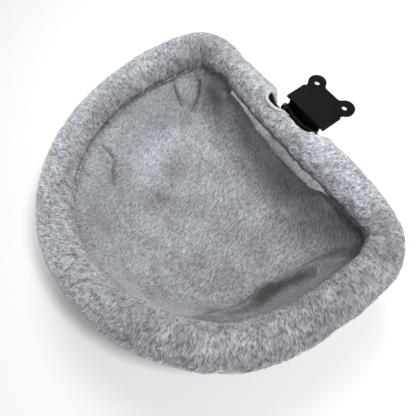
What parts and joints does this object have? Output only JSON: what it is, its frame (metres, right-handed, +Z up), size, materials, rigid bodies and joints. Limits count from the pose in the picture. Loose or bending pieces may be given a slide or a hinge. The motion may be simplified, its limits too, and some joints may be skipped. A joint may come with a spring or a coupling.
{
  "type": "desk cat hammock",
  "caption": "D-shaped padded plush cat bed with a hanging fabric bag, on a tube ring that hinges from a screw clamp for a desk's edge.",
  "frame": {"origin": "on the desk's top surface, under the clamp's rubber pad, at the desk's edge and midway along the bed's straight side", "axes": "+X along the bed's straight side, +Y onto the desk, +Z up; the bed hangs towards -Y"},
  "size_m": [0.4938, 0.4667, 0.137],
  "materials": {
    "clamp_black": "matte black powder coat",
    "fastener_black": "black oxide",
    "rubber_black": "matte ribbed rubber",
    "screw_steel": "zinc plated",
    "knob_plastic": "fine matte grain",
    "tube_black": "black powder coat",
    "foam": "soft padding",
    "plush_rim": "long-pile grey plush",
    "plush_bag": "short-pile grey plush",
    "binding": "smooth bound edge"
  },
  "bodies": {
    "clamp": {"clamp_bracket": "clamp_black", "top_pad": "rubber_black", "weld_nut": "screw_steel", "hinge_ear_left": "clamp_black", "hinge_ear_right": "clamp_black", "hinge_bolts": "fastener_black", "hinge_washers": "fastener_black"},
    "foot": {"foot_disc": "fastener_black", "foot_pad": "rubber_black"},
    "screw": {"clamp_screw": "screw_steel", "screw_knob": "knob_plastic", "knob_pin": "screw_steel"},
    "hammock": {"hinge_yoke": "clamp_black", "stop_heel": "clamp_black", "tube_collars": "clamp_black", "frame_rear_bar": "tube_black", "frame_left_hoop": "tube_black", "frame_right_hoop": "tube_black", "frame_plugs": "screw_steel", "frame_screws": "fastener_black", "rim_foam": "foam", "rim_cover_back": "plush_rim", "rim_cover_front": "plush_rim", "cuff_left": "binding", "cuff_right": "binding", "bag_back_panel": "plush_bag", "bag_side_panel": "plush_bag", "bag_floor": "plush_bag", "hem_flap": "plush_bag"}
  },
  "joints": [
    {"name": "bed_fold", "type": "hinge", "parent": "clamp", "child": "hammock", "pos_m": [0, -0.009, -0.011], "axis": [-1, 0, 0], "range_deg": [0, 90]},
    {"name": "foot_travel", "type": "slide", "parent": "clamp", "child": "foot", "axis": [0, 0, 1], "range_m": [-0.02, 0.017]},
    {"name": "screw_spin", "type": "hinge", "parent": "foot", "child": "screw", "pos_m": [0, 0.02, -0.06], "axis": [0, 0, 1], "range_deg": [-4801, 4081]}
  ],
  "couplings": [
    {"joint": "screw_spin", "follows": "foot_travel", "rad_per_m": 4188.8}
  ]
}
